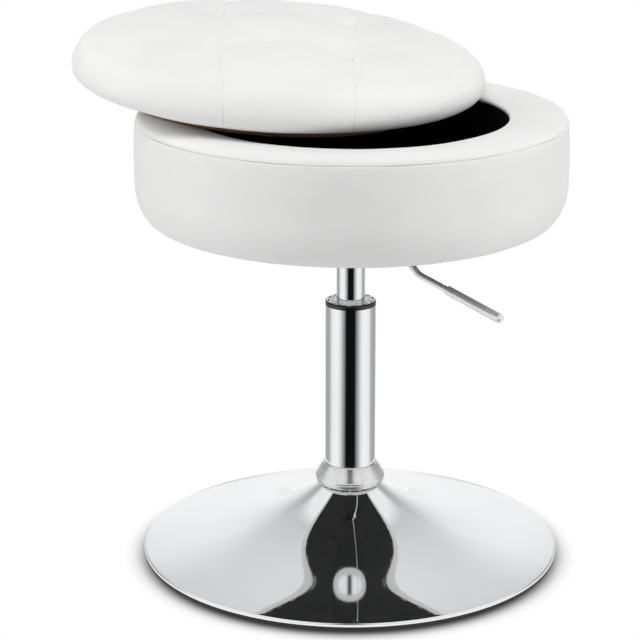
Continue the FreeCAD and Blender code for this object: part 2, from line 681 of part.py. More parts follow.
tie_share = (top_r + tuft_floor - LID_COVER_T) / top_r
lid_board = rod(board_r, 0, LID_BOARD_T)
foam = foam_body.cut(lid_board)
tie = rod(TIE_WASHER_R, LID_BOARD_T, LID_BOARD_T + 1.2).fuse(rod(TIE_R, LID_BOARD_T, top_z + top_r))
ties = [tie.translated(FreeCAD.Vector(tie_share * x, tie_share * y, 0)).common(foam) for x, y in tufts]
lid_pieces["tuft_ties"] = Part.makeCompound(ties)
lid_pieces["lid_foam"] = foam.cut(lid_pieces["tuft_ties"])

screw = lathe([
    (0, -PLUG_T), (SCREW_HEAD_R, -PLUG_T), (SCREW_R, SCREW_HEAD_R - SCREW_R - PLUG_T),
    (SCREW_R, SCREW_BITE), (0, SCREW_BITE),
]).translated(FreeCAD.Vector(SCREW_RING, 0, 0))
lid_pieces["plug_screws"] = Part.makeCompound(around(screw, 4))
lid_pieces["lid_board"] = lid_board.cut(lid_pieces["plug_screws"])
plug = lathe([
    (0, -PLUG_T), (plug_r - PLUG_EDGE, -PLUG_T), (plug_r, PLUG_EDGE - PLUG_T), (plug_r, 0), (0, 0),
])
lid_pieces["lid_plug"] = plug.cut(lid_pieces["plug_screws"])

lid_turn = FreeCAD.Rotation(FreeCAD.Vector(0, 1, 0), LID_ROLL).multiply(
    FreeCAD.Rotation(FreeCAD.Vector(1, 0, 0), LID_PITCH))
lid_normal = lid_turn.multVec(UP)


def rim_height(r):
    """Height of the rim's crown at a radius, its two end rounds counted as crown."""
    return crown_centre[1] + math.sqrt(RIM_CROWN_R ** 2 - (r - crest_r) ** 2)


def lid_height():
    """Height of the lid's board where the plug's face just clears the rim."""
    lowest = crest_z
    flat = FreeCAD.Vector(LID_X, LID_Y, 0)
    for i in range(41):
        r = OPENING_R + (seam_r - OPENING_R) * i / 40
        for j in range(240):
            turn = 2 * math.pi * j / 240
            spot = FreeCAD.Vector(r * math.cos(turn), r * math.sin(turn), rim_height(r))
            if (spot - flat).x ** 2 + (spot - flat).y ** 2 <= (plug_r + 1) ** 2:
                level = ((spot - flat).dot(lid_normal) + PLUG_T + SOFT_GAP) / lid_normal.z
                lowest = max(lowest, level)
    return lowest


lid_seat = FreeCAD.Placement(FreeCAD.Vector(LID_X, LID_Y, lid_height()), lid_turn)
for name, shape in lid_pieces.items():
    pieces[name] = shape.transformed(lid_seat.toMatrix())

for name, shape in pieces.items():
    shape.exportStep("parts/" + name + ".step")
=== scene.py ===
import json
import math

import bmesh
import bpy
from mathutils import Matrix, Vector, noise


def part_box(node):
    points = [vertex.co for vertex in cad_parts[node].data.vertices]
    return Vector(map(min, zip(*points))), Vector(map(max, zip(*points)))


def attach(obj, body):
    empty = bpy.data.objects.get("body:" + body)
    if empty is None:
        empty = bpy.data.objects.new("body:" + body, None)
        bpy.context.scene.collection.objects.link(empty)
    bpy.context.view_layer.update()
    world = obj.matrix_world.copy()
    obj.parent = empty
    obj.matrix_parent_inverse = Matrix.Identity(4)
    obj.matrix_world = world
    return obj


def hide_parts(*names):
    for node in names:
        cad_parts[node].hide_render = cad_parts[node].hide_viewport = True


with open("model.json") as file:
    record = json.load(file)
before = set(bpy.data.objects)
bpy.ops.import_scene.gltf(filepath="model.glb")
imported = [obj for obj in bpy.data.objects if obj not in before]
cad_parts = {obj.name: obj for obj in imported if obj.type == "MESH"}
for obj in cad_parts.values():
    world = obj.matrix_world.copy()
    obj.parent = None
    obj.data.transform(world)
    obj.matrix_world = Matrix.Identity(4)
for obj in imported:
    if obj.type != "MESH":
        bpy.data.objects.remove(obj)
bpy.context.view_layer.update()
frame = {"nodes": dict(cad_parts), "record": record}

# Vanity stool: looks of the CAD pieces, sewn covers, lining, studio. Metres, in the CAD frame.

scene = bpy.context.scene
UP = Vector((0, 0, 1))

# Drum: places read off the CAD pieces that its covers stand for, then the forms of the covers
side_low, side_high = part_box("side_cover")
DRUM_R = side_high.x
DRUM_BOTTOM = side_low.z
SEAM_Z = side_high.z
CREST_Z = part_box("rim_cover")[1].z
LINING_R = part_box("liner_floor")[1].x
LINING_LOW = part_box("liner_floor")[1].z
LINING_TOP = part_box("liner_wall")[1].z
TURN_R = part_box("dust_cover")[1].x
WALL_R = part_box("drum_wall")[1].x
BOARD_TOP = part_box("rim_board")[1].z
COVER_T = 0.0012
OPENING_R = LINING_R - COVER_T
ROUND_R = 0.022
ROUND_H = 0.040
SIDE_RISE = 0.083
SIDE_TOP = DRUM_BOTTOM + SIDE_RISE
SEAM_INSET = 0.0011
SEAM_R = DRUM_R - SEAM_INSET
SEAM_TURN = math.radians(85)
CREST_SHARE = 0.62
CREST_R = OPENING_R + CREST_SHARE * (DRUM_R - OPENING_R)
CROWN_R = 0.160
OUTER_ROUND = 0.008
INNER_ROUND = 0.003

# Lid cushion, in its own frame: z 0 is the underside of its board
LID_ROLL = math.radians(3.2)
LID_PITCH = math.radians(2.5)
LID_TURN = Matrix.Rotation(LID_ROLL, 4, "Y") @ Matrix.Rotation(LID_PITCH, 4, "X")
LID_R = 0.202
LID_EQUATOR = 0.014
LID_UNDER = 0.043
LID_BOARD_R = LID_R - LID_UNDER
LID_ROUND = 0.034
LID_SIDE = 0.036
LID_SIDE_H = 0.0345
LID_CROWN = math.radians(11.2)
LID_COVER = 0.002
LID_BOARD_T = 0.012

board_low, board_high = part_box("lid_board")
LID_UP = LID_TURN @ UP
LID_SPOT = (board_low + board_high) / 2 - LID_UP * LID_BOARD_T / 2
LID_PLACE = Matrix.Translation(LID_SPOT) @ LID_TURN

# Cloth simulation that swells the padded covers
FRAMES = 20
CLOTH_QUALITY = 5
CLOTH_MASS = 0.3
CLOTH_STRETCH = 15
CLOTH_SHEAR = 5
CLOTH_BEND = 0.5
CLOTH_PRESSURE = 4.0
FREE_TIE = 0.3  # points tied less firmly than this swell freely
USUAL_SHARE = 0.6  # share of the free points that swell no more than the usual one
SWELL_LIMIT = 1.5
SETTLE_ROUNDS = 6

# Mesh helpers

MERGE_GAP = 1e-6
ON_AXIS = 1e-7
CUT_GAP = 2e-4
CORNERS = ((-1, -1), (1, -1), (1, 1), (-1, 1))


def smooth(mesh, on=True):
    """Shades all the faces of a mesh smooth or flat."""
    for polygon in mesh.polygons:
        polygon.use_smooth = on


def add_mesh(name, verts, faces):
    """Object of its own from points and faces, smooth shaded, with its faces turned outward."""
    shape = bmesh.new()
    spots = [shape.verts.new(v) for v in verts]
    for face in faces:
        shape.faces.new([spots[i] for i in face])
    bmesh.ops.remove_doubles(shape, verts=shape.verts, dist=MERGE_GAP)
    bmesh.ops.recalc_face_normals(shape, faces=shape.faces)
    mesh = bpy.data.meshes.new(name)
    shape.to_mesh(mesh)
    shape.free()
    smooth(mesh)
    piece = bpy.data.objects.new(name, mesh)
    scene.collection.objects.link(piece)
    return piece


def lathe(name, line, steps, closed=False):
    """Turns a line of (radius, height) points about Z."""
    verts = []
    for i in range(steps):
        turn = 2 * math.pi * i / steps
        verts += [(r * math.cos(turn), r * math.sin(turn), z) for r, z in line]
    count = len(line)
    faces = []
    for i in range(steps):
        here, there = i * count, (i + 1) % steps * count
        for j in range(count if closed else count - 1):
            k = (j + 1) % count
            ring = [here + j, there + j, there + k, here + k]
            if line[j][0] < ON_AXIS:
                ring.remove(there + j)
            if line[k][0] < ON_AXIS:
                ring.remove(there + k)
            faces.append(ring)
    return add_mesh(name, verts, faces)


def oval(centre, wide, high, start, end, count):
    """Points on an ellipse, from one angle to the other in degrees from +r toward +z."""
    spots = []
    for i in range(count + 1):
        turn = math.radians(start + (end - start) * i / count)
        spots.append((centre[0] + wide * math.cos(turn), centre[1] + high * math.sin(turn)))
    return spots


def straight(start, end, count):
    """Points on a straight line, the end left out."""
    return [
        (start[0] + (end[0] - start[0]) * i / count, start[1] + (end[1] - start[1]) * i / count)
        for i in range(count)
    ]


def ease(low, high, value):
    """0 below low, 1 above high, smooth between."""
    share = min(1.0, max(0.0, (value - low) / (high - low)))
    return share * share * (3 - 2 * share)


def valley(gap, depth, width):
    """Depth of a soft groove at a gap from its line."""
    return depth * math.exp(-(gap / width) ** 2)


def slack(spot, layers):
    """Slow unevenness of a hand-stretched cover, in layers of (size, depth)."""
    return sum(depth * noise.noise(spot * size) for size, depth in layers)


def bake(piece):
    """Applies a piece's modifiers."""
    view = bpy.context.evaluated_depsgraph_get()
    view.update()
    mesh = bpy.data.meshes.new_from_object(piece.evaluated_get(view))
    piece.modifiers.clear()
    piece.data = mesh
    smooth(mesh)


def cut_lines(piece, cuts):
    """Adds edges to a mesh where planes cross it, each plane a point and a normal."""
    shape = bmesh.new()
    shape.from_mesh(piece.data)
    for point, normal in cuts:
        geometry = shape.verts[:] + shape.edges[:] + shape.faces[:]
        bmesh.ops.bisect_plane(shape, geom=geometry, dist=CUT_GAP, plane_co=point, plane_no=normal)
    shape.to_mesh(piece.data)
    shape.free()
    smooth(piece.data)


def shift(piece, depth):
    """Moves each point inward along its normal by depth(point, normal)."""
    mesh = piece.data
    normals = [n.vector.copy() for n in mesh.vertex_normals]
    for vertex, normal in zip(mesh.vertices, normals):
        vertex.co -= normal * depth(vertex.co, normal)
    mesh.update()


def settle(mesh, ways, rounds):
    """Evens out the moves of a mesh's points, each with those of its neighbours."""
    near = [[] for _ in ways]
    for edge in mesh.edges:
        first, second = edge.vertices
        near[first].append(second)
        near[second].append(first)
    for _ in range(rounds):
        ways = [
            (way + sum((ways[j] for j in others), Vector()) / len(others)) / 2
            for way, others in zip(ways, near)
        ]
    return ways


def inflate(piece, held, swell):
    """Swells a sewn cover by a short cloth simulation.

    held(point) says how firmly a point is tied, swell how far the freely swelling part goes.
    """
    start = [v.co.copy() for v in piece.data.vertices]
    ties = [held(spot) for spot in start]
    group = piece.vertex_groups.new(name="held")
    for i, tie in enumerate(ties):
        group.add([i], tie, "REPLACE")
    cloth = piece.modifiers.new("cloth", "CLOTH")
    cloth.point_cache.frame_start = 1
    cloth.point_cache.frame_end = FRAMES
    cloth.collision_settings.use_collision = False
    settings = cloth.settings
    settings.quality = CLOTH_QUALITY
    settings.mass = CLOTH_MASS
    settings.tension_stiffness = CLOTH_STRETCH
    settings.compression_stiffness = CLOTH_STRETCH
    settings.shear_stiffness = CLOTH_SHEAR
    settings.bending_stiffness = CLOTH_BEND
    settings.use_pressure = True
    settings.uniform_pressure_force = CLOTH_PRESSURE
    settings.vertex_group_mass = "held"
    settings.effector_weights.gravity = 0
    for step in range(1, FRAMES + 1):
        scene.frame_set(step)
    view = bpy.context.evaluated_depsgraph_get()
    swollen = piece.evaluated_get(view)
    ways = [v.co - old for v, old in zip(swollen.data.vertices, start)]
    piece.modifiers.remove(cloth)
    piece.vertex_groups.clear()
    free = sorted(way.length for way, tie in zip(ways, ties) if tie < FREE_TIE)
    gain = swell / free[int(USUAL_SHARE * len(free))]
    for i, way in enumerate(ways):
        reach = min(gain * way.length, SWELL_LIMIT * swell)
        ways[i] = way.normalized() * reach if ties[i] < 1 else Vector()
    ways = settle(piece.data, ways, SETTLE_ROUNDS)
    for vertex, old, way, tie in zip(piece.data.vertices, start, ways, ties):
        vertex.co = old + way if tie < 1 else old
    piece.data.update()
    scene.frame_set(1)


# Shader helpers

RANGE_SOCKETS = ("From Min", "From Max", "To Min", "To Max")


def add_node(tree, kind, inputs=(), **values):
    """New shader node with its settings. Its inputs are pairs of a socket and a value or another output."""
    node = tree.nodes.new(kind)
    for key, value in values.items():
        setattr(node, key, value)
    for socket, value in inputs:
        if isinstance(value, bpy.types.NodeSocket):
            tree.links.new(value, node.inputs[socket])
        else:
            node.inputs[socket].default_value = value
    return node


def map_range(tree, value, span, shape="LINEAR"):
    """Maps a value over a span of from low, from high, to low and to high."""
    inputs = [("Value", value), *zip(RANGE_SOCKETS, span)]
    return add_node(tree, "ShaderNodeMapRange", inputs, interpolation_type=shape).outputs["Result"]


def fill_ramp(ramp, stops):
    """Gives a colour ramp its stops of (position, colour)."""
    while len(ramp.elements) < len(stops):
        ramp.elements.new(0.5)
    for element, (position, colour) in zip(ramp.elements, stops):
        element.position = position
        element.color = (*colour, 1)


class Shader:
    """One material: its Principled shader, and the nodes that vary it."""

    def __init__(self, name, **values):
        self.material = bpy.data.materials.new(name)
        self.material.use_nodes = True
        self.tree = self.material.node_tree
        self.shader = self.tree.nodes["Principled BSDF"]
        self.where = self.add("ShaderNodeTexCoord").outputs["Object"]
        for socket, value in values.items():
            self.shader.inputs[socket.replace("_", " ")].default_value = value

    def add(self, kind, *inputs, **values):
        return add_node(self.tree, kind, inputs, **values)

    def drive(self, socket, output):
        """Lets an output set one input of the Principled shader."""
        self.tree.links.new(output, self.shader.inputs[socket])

    def stretch(self, scale, turn=(0, 0, 0)):
        """Coordinates stretched along their axes."""
        inputs = (("Vector", self.where), ("Scale", scale), ("Rotation", turn))
        return self.add("ShaderNodeMapping", *inputs).outputs["Vector"]

    def noise(self, scale, detail=3.0, where=None, rough=0.5, bend=0.0):
        """Cloudy pattern."""
        place = (("Vector", where or self.where), ("Scale", scale), ("Detail", detail))
        form = (("Roughness", rough), ("Distortion", bend))
        return self.add("ShaderNodeTexNoise", *place, *form).outputs["Fac"]

    def cells(self, scale):
        """Distance from the middle of the nearest cell."""
        inputs = (("Vector", self.where), ("Scale", scale))
        return self.add("ShaderNodeTexVoronoi", *inputs).outputs["Distance"]

    def waves(self, scale, bend):
        """Wavy bands over the height."""
        place = (("Vector", self.where), ("Scale", scale))
        form = (("Distortion", bend), ("Detail", 2.0), ("Detail Scale", 1.5))
        return self.add("ShaderNodeTexWave", *place, *form, bands_direction="Z").outputs["Fac"]

    def above(self, level):
        """1 where the piece's own height is over a level, else 0."""
        parts = self.add("ShaderNodeSeparateXYZ", ("Vector", self.where))
        inputs = ((0, parts.outputs["Z"]), (1, level))
        return self.add("ShaderNodeMath", *inputs, operation="GREATER_THAN").outputs["Value"]

    def colours(self, value, *stops):
        """Colour from a ramp of (position, colour) stops on a value."""
        node = self.add("ShaderNodeValToRGB", ("Fac", value))
        fill_ramp(node.color_ramp, stops)
        self.drive("Base Color", node.outputs["Color"])

    def roughness(self, value, low, high):
        """Roughness from low to high over a value."""
        self.drive("Roughness", map_range(self.tree, value, (0, 1, low, high)))

    def bumps(self, *layers):
        """Stacks bump layers of (height, strength, depth)."""
        below = ()
        for height, strength, depth in layers:
            inputs = (("Height", height), ("Strength", strength), ("Distance", depth))
            node = self.add("ShaderNodeBump", *inputs, *below)
            below = (("Normal", node.outputs["Normal"]),)
        self.drive("Normal", node.outputs["Normal"])


# Finishes: one for each material slot, and a few for single nodes

COLLAR_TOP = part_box("guide_bush")[1].z
TOP_SKIN = 0.0001


def white_leather():
    s = Shader("white_leather", Specular_IOR_Level=0.2)
    s.colours(s.noise(14, 4), (0.3, (0.87, 0.865, 0.86)), (0.7, (0.91, 0.905, 0.90)))
    s.roughness(s.noise(60, 3), 0.42, 0.56)
    s.bumps((s.noise(120, 5), 0.10, 0.0008), (s.cells(780), 0.22, 0.0003))
    return s.material


def chrome():
    s = Shader("chrome", Metallic=1.0)
    s.colours(s.noise(9, 3), (0.3, (0.85, 0.86, 0.87)), (0.7, (0.89, 0.90, 0.91)))
    s.roughness(s.noise(45, 4), 0.015, 0.05)
    s.bumps((s.noise(30, 2), 0.01, 0.0003))
    return s.material


def lever_chrome():
    s = Shader("lever_chrome", Metallic=0.4)
    s.colours(s.noise(12, 3), (0.3, (0.90, 0.90, 0.91)), (0.7, (0.95, 0.95, 0.95)))
    s.roughness(s.noise(60, 3), 0.05, 0.10)
    s.bumps((s.noise(40, 2), 0.01, 0.0003))
    return s.material


def steel():
    s = Shader("steel", Metallic=1.0)
    s.colours(s.noise(40, 4), (0.3, (0.52, 0.53, 0.55)), (0.7, (0.64, 0.65, 0.66)))
    s.roughness(s.noise(220, 3), 0.28, 0.46)
    s.bumps((s.noise(900, 3, where=s.stretch((1, 1, 6))), 0.12, 0.0002))
    return s.material


def light_alloy():
    s = Shader("light_alloy", Metallic=1.0)
    s.colours(s.noise(60, 3), (0.3, (0.66, 0.66, 0.67)), (0.7, (0.74, 0.74, 0.75)))
    s.roughness(s.noise(300, 3), 0.25, 0.42)
    s.bumps((s.noise(1200, 2, where=s.stretch((1, 1, 8))), 0.10, 0.0002))
    return s.material


def brass():
    s = Shader("brass", Metallic=1.0)
    s.colours(s.noise(80, 3), (0.3, (0.66, 0.50, 0.24)), (0.7, (0.76, 0.62, 0.34)))
    s.roughness(s.noise(260, 3), 0.22, 0.38)
    s.bumps((s.noise(1100, 2, where=s.stretch((1, 1, 8))), 0.10, 0.0002))
    return s.material


def black_plastic():
    s = Shader("black_plastic", IOR=1.6)
    s.colours(s.noise(90, 3), (0.3, (0.010, 0.010, 0.011)), (0.7, (0.020, 0.020, 0.022)))
    s.roughness(s.noise(320, 3), 0.14, 0.24)
    s.bumps((s.noise(1600, 2), 0.08, 0.0002))
    return s.material


def collar_plastic_painted_top():
    """Black plastic whose top face is drawn as pale grey metal: a painted highlight for the light that face
    catches, though the metal also mirrors for real.
    """
    s = Shader("collar_plastic_painted_top", IOR=1.6)
    # Painted highlight: the face above this height is pale metal, the rest black plastic
    top = s.above(COLLAR_TOP - TOP_SKIN)
    s.colours(top, (0.3, (0.014, 0.014, 0.015)), (0.7, (0.55, 0.55, 0.56)))
    s.drive("Metallic", top)
    s.roughness(s.noise(320, 3), 0.10, 0.20)
    s.bumps((s.noise(1600, 2), 0.06, 0.0002))
    return s.material


def clear_plastic():
    s = Shader("clear_plastic", IOR=1.45, Transmission_Weight=0.7, Metallic=0.6)
    s.colours(s.noise(40, 2), (0.3, (0.96, 0.97, 0.97)), (0.7, (0.99, 0.99, 0.99)))
    s.roughness(s.noise(150, 3), 0.05, 0.14)
    s.bumps((s.noise(240, 2), 0.05, 0.0003))
    return s.material


def rubber():
    s = Shader("rubber", IOR=1.5)
    s.colours(s.noise(70, 4), (0.3, (0.018, 0.018, 0.018)), (0.7, (0.034, 0.033, 0.032)))
    s.roughness(s.noise(400, 3), 0.62, 0.82)
    s.bumps((s.noise(1500, 3), 0.30, 0.0003))
    return s.material


def black_paint():
    s = Shader("black_paint", Specular_IOR_Level=0.3)
    s.colours(s.noise(50, 3), (0.3, (0.012, 0.012, 0.012)), (0.7, (0.022, 0.022, 0.022)))
    s.roughness(s.noise(280, 3), 0.40, 0.58)
    s.bumps((s.noise(700, 3), 0.20, 0.0003))
    return s.material


def foam():
    s = Shader("foam")
    s.colours(s.noise(30, 4), (0.3, (0.78, 0.72, 0.54)), (0.7, (0.87, 0.82, 0.66)))
    s.roughness(s.noise(200, 2), 0.85, 0.95)
    s.bumps((s.cells(900), 0.5, 0.0006))
    return s.material


def dark_lining():
    s = Shader("dark_lining", Specular_IOR_Level=0.15)
    fibre = s.noise(900, 4, rough=0.7)
    s.colours(fibre, (0.3, (0.002, 0.002, 0.002)), (0.7, (0.007, 0.007, 0.007)))
    s.roughness(s.noise(90, 3), 0.82, 0.95)
    s.bumps((s.cells(700), 0.35, 0.0003), (fibre, 0.4, 0.0004))
    return s.material


def dust_cloth():
    s = Shader("dust_cloth", Specular_IOR_Level=0.2)
    fibre = s.noise(700, 4, rough=0.7)
    s.colours(fibre, (0.3, (0.020, 0.020, 0.020)), (0.7, (0.040, 0.040, 0.040)))
    s.roughness(s.noise(90, 3), 0.80, 0.92)
    s.bumps((s.cells(500), 0.35, 0.0003), (fibre, 0.4, 0.0004))
    return s.material


def board():
    s = Shader("board")
    grain = s.noise(60, 5, where=s.stretch((1, 14, 14)), bend=0.6)
    s.colours(grain, (0.3, (0.46, 0.33, 0.20)), (0.7, (0.66, 0.51, 0.34)))
    s.roughness(s.noise(180, 3), 0.55, 0.72)
    s.bumps((grain, 0.25, 0.0004))
    return s.material


def walnut():
    s = Shader("walnut", IOR=1.48, Coat_Weight=0.15, Coat_Roughness=0.3)
    flow = s.stretch((2, 9, 60), (0, 0, 0.15))
    grain = s.noise(9, 4, where=flow, bend=0.6)
    dark, middle, pale = (0.19, 0.088, 0.034), (0.27, 0.128, 0.052), (0.34, 0.17, 0.072)
    s.colours(grain, (0.3, dark), (0.5, middle), (0.7, pale))
    s.roughness(s.noise(160, 3), 0.32, 0.48)
    s.bumps((s.noise(70, 4, where=flow), 0.18, 0.0003))
    return s.material


def twine():
    s = Shader("twine")
    s.colours(s.noise(300, 3), (0.3, (0.70, 0.67, 0.60)), (0.7, (0.84, 0.82, 0.76)))
    s.roughness(s.noise(500, 2), 0.75, 0.92)
    s.bumps((s.waves(400, 2.0), 0.5, 0.0004))
    return s.material


MAKERS = (
    white_leather, chrome, lever_chrome, steel, light_alloy, brass, black_plastic, collar_plastic_painted_top,
    clear_plastic, rubber, black_paint, foam, dark_lining, dust_cloth, board, walnut, twine,
)
# Nodes whose finish isn't that of their slot
OWN_FINISH = {
    "guide_bush": "collar_plastic_painted_top",
    "collar_washer": "light_alloy",
    "lever_rod": "lever_chrome",
    "lever_grip": "lever_chrome",
    "seat_plate": "black_paint",
    "taper_socket": "black_paint",
    "bracket_ears": "black_paint",
    "plate_bolts": "black_paint",
    "pivot_pin": "black_paint",
}
finishes = {maker.__name__: maker() for maker in MAKERS}
for entry in frame["record"]["subparts"]:
    node = frame["nodes"][entry["node"]]
    finish = OWN_FINISH.get(entry["node"], entry["material_slot"])
    node.data.materials.clear()
    node.data.materials.append(finishes[finish])


def dress(piece, slot, body, *nodes, finish=None):
    """Puts on a piece the finish of its slot or the finish given, hides the CAD nodes it stands for and
    attaches it to its body.
    """
    piece.data.materials.append(finishes[finish or slot])
    if nodes:
        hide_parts(*nodes)
    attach(piece, body)


# Base dish: the profile of the CAD dish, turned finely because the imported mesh's facets show in a mirror

BASE_R = 0.2070
BASE_SHEET = 0.0015
ROLL_R = 0.0023
FLOOR_GAP = 0.0018
NECK_R = 0.0285
NECK_Z = 0.0695
COLUMN_HOLE = 0.0252
EDGE_FALL = math.radians(14.6)
MIDDLE_SHARE = 0.503
EDGE_SHARE = 0.032
FLARE_POWER = 4
EDGE_POWER = 7
DISH_STEPS = 256
TOP_POINTS = 72
UNDER_POINTS = 20
ROLL_POINTS = 20
SLOPE_STEP = 1e-5
SHARP_EDGE = math.radians(30)
ROLL = (BASE_R - ROLL_R, FLOOR_GAP + ROLL_R)
DISH_EDGE = (ROLL[0] + ROLL_R * math.sin(EDGE_FALL), ROLL[1] + ROLL_R * math.cos(EDGE_FALL))


def dish_height(r):
    """Height of the dish's upper face: an even slope, a flare up to the neck, a steeper edge."""
    share = (DISH_EDGE[0] - r) / (DISH_EDGE[0] - NECK_R)
    flare = (1 - MIDDLE_SHARE - EDGE_SHARE) * share ** FLARE_POWER
    edge = EDGE_SHARE * (1 - (1 - share) ** EDGE_POWER)
    return DISH_EDGE[1] + (NECK_Z - DISH_EDGE[1]) * (MIDDLE_SHARE * share + flare + edge)


def dish_face(inset, count):
    """Points along the dish's upper face from the neck to the edge, moved square to it into the sheet."""
    spots = []
    for i in range(count + 1):
        r = NECK_R + (DISH_EDGE[0] - NECK_R) * i / count
        fall = (dish_height(r - SLOPE_STEP) - dish_height(r + SLOPE_STEP)) / (2 * SLOPE_STEP)
        length = math.sqrt(1 + fall ** 2)
        spots.append((r - inset * fall / length, dish_height(r) - inset / length))
    return spots


under_face = dish_face(BASE_SHEET, UNDER_POINTS)
dish_line = [(COLUMN_HOLE, NECK_Z + BASE_SHEET), (NECK_R, NECK_Z + BASE_SHEET)]
dish_line += dish_face(0, TOP_POINTS)[:-1]
dish_line += oval(ROLL, ROLL_R, ROLL_R, 90 - math.degrees(EDGE_FALL), -90, ROLL_POINTS)
dish_line += under_face[::-1] + [(COLUMN_HOLE, under_face[0][1])]
dish = lathe("dish", dish_line, DISH_STEPS, closed=True)
dish.data.set_sharp_from_angle(angle=SHARP_EDGE)
dress(dish, "chrome", "base", "base_dish")

# Drum side: one closed ring of cover and padding, turned in under the drum and pinched at the seam

COVER_STEPS = 320
START_INSET = 0.0006
FOOT_POINTS, ROUND_POINTS, SIDE_POINTS = 9, 16, 14
SIDE_LEAD = 0.003
WALL_GAP = 0.0006
FOLD_RISE = 0.0013
SEAM_TOUCH = 0.00003
# Drops from the seam and steps back from the side, up to the pinch
SIDE_SEAM = (
    (0.0115, 0.0), (0.0090, 0.00005), (0.0066, 0.00015), (0.0046, 0.0003), (0.0030, 0.00045),
    (0.0016, 0.0006), (0.0008, 0.0008), (0.0003, 0.0011), (0.00002, 0.0020),
)
LOOSE_TIE = 0.15
SEAM_TIE = 0.8
WALL_TIED = 0.002
WALL_KEPT = 0.004
SIDE_TIED = 0.0025
SIDE_LOOSE = 0.025
SIDE_SLACK = ((16, 0.0005), (45, 0.0002))
PUCKERS = 220
PUCKER_DEPTH = 0.00012
PUCKER_START = (0.0004, 0.0018)
SIDE_PUCKER_END = (0.0015, 0.010)
CLOSING_GROOVE = (0.0011, 0.0011)
CLOSING_VALLEY = (0.0007, 0.006)
CLOSING_CUTS = (-0.005, -0.003, -0.0015, 0, 0.0015, 0.003, 0.005)


def side_line():
    """Points of the drum's side from its turned-in edge up to the pinched seam, before it swells."""
    foot = (DRUM_R - ROUND_R, DRUM_BOTTOM)
    centre = (DRUM_R - ROUND_R, DRUM_BOTTOM + ROUND_H)
    out = DRUM_R - START_INSET
    line = straight((TURN_R, DRUM_BOTTOM), foot, FOOT_POINTS)
    line += oval(centre, ROUND_R - START_INSET, ROUND_H, 270, 360, ROUND_POINTS)
    line += straight((out, centre[1] + SIDE_LEAD), (out, SIDE_TOP), SIDE_POINTS)
    return line + [(out - back, SEAM_Z - drop) for drop, back in SIDE_SEAM]


def side_held(spot):
    """The turned-in edge, the seam and the face against the wall are held."""
    r = math.hypot(spot.x, spot.y)
    if r < WALL_R + WALL_TIED or spot.z > SEAM_Z - SIDE_TIED:
        return 1.0
    return LOOSE_TIE + SEAM_TIE * (1 - ease(SIDE_TIED, SIDE_LOOSE, SEAM_Z - spot.z))


def puckers(spot, end):
    """Small puckers along the rim seam, on either side of it, that fade out toward the end."""
    gap = abs(spot.z - SEAM_Z)
    near = ease(*PUCKER_START, gap) * (1 - ease(*end, gap))
    return PUCKER_DEPTH * near * math.cos(PUCKERS * math.atan2(spot.x, spot.y))


def side_depth(spot, normal):
    """Slack of the cover, the closing seam at the back and small puckers along the rim seam."""
    if math.hypot(spot.x, spot.y) < WALL_R + WALL_KEPT:
        return 0.0
    depth = slack(spot, SIDE_SLACK) + puckers(spot, SIDE_PUCKER_END)
    if spot.y > 0:
        depth += valley(spot.x, *CLOSING_GROOVE) + valley(spot.x, *CLOSING_VALLEY)
    return depth


side_inner = [
    (WALL_R + WALL_GAP, SEAM_Z - SEAM_TOUCH),
    (WALL_R + WALL_GAP, DRUM_BOTTOM + FOLD_RISE),
    (TURN_R, DRUM_BOTTOM + COVER_T),
]
side = lathe("drum_side", side_line() + side_inner, COVER_STEPS, closed=True)
inflate(side, side_held, START_INSET)
cut_lines(side, [(Vector((x, 0, 0)), Vector((1, 0, 0))) for x in CLOSING_CUTS])
shift(side, side_depth)
dress(side, "white_leather", "seat", "side_cover", "side_pad")

# Drum rim: padded ring sewn to the side, with a lip over the lining

RIM_START = math.radians(78)
OUTER_POINTS, CROWN_POINTS, INNER_POINTS = 10, 16, 7
# Shares of the crown's arc, outward and inward, that have points of their own
CROWN_OUT, CROWN_IN = 0.9, 0.95
# Steps back from the seam and rises above it
RIM_FOOT = ((0.0014, 0.00002), (0.0005, 0.0002), (0.0002, 0.0005))
# Steps back from the opening and drops from the lining's top edge
RIM_LIP = ((0.0003, 0.0012), (0.0008, 0.0016), (0.0013, 0.0010))
LIP_BACK = 0.0004
BOARD_GAP = 0.0003
BOARD_EDGE = 0.01
CORNER_GAP = 0.0008
RIM_TIED = 0.0012
RIM_LOOSE = 0.005
LIP_KEPT = 0.002
RIM_SLACK = ((20, 0.0004),)
RIM_PUCKER_END = (0.0015, 0.008)
RIM_PUCKER_REACH = 0.01


def sweep(centre, radius, first, last, count):
    """Points on a circle, from one angle to the other in radians from +z toward +r."""
    spots = []
    for i in range(count):
        turn = first + (last - first) * i / (count - 1)
        spots.append((centre[0] + radius * math.sin(turn), centre[1] + radius * math.cos(turn)))
    return spots


def rim_round():
    """Points of the rim from above the seam over its crest to the opening, before it swells."""
    crown = (CREST_R, CREST_Z - CROWN_R)
    outer_reach = CROWN_R - OUTER_ROUND
    inner_reach = CROWN_R - INNER_ROUND
    out_turn = math.asin((SEAM_R - OUTER_ROUND * math.sin(SEAM_TURN) - CREST_R) / outer_reach)
    in_turn = math.asin((CREST_R - OPENING_R - INNER_ROUND) / inner_reach)
    outer = (CREST_R + outer_reach * math.sin(out_turn), crown[1] + outer_reach * math.cos(out_turn))
    inner = (CREST_R - inner_reach * math.sin(in_turn), crown[1] + inner_reach * math.cos(in_turn))
    line = sweep(outer, OUTER_ROUND - START_INSET, RIM_START, out_turn, OUTER_POINTS)
    ends = (out_turn * CROWN_OUT, -in_turn * CROWN_IN)
    line += sweep(crown, CROWN_R - START_INSET, *ends, CROWN_POINTS)
    return line + sweep(inner, INNER_ROUND - START_INSET / 2, -in_turn, -math.pi / 2, INNER_POINTS)


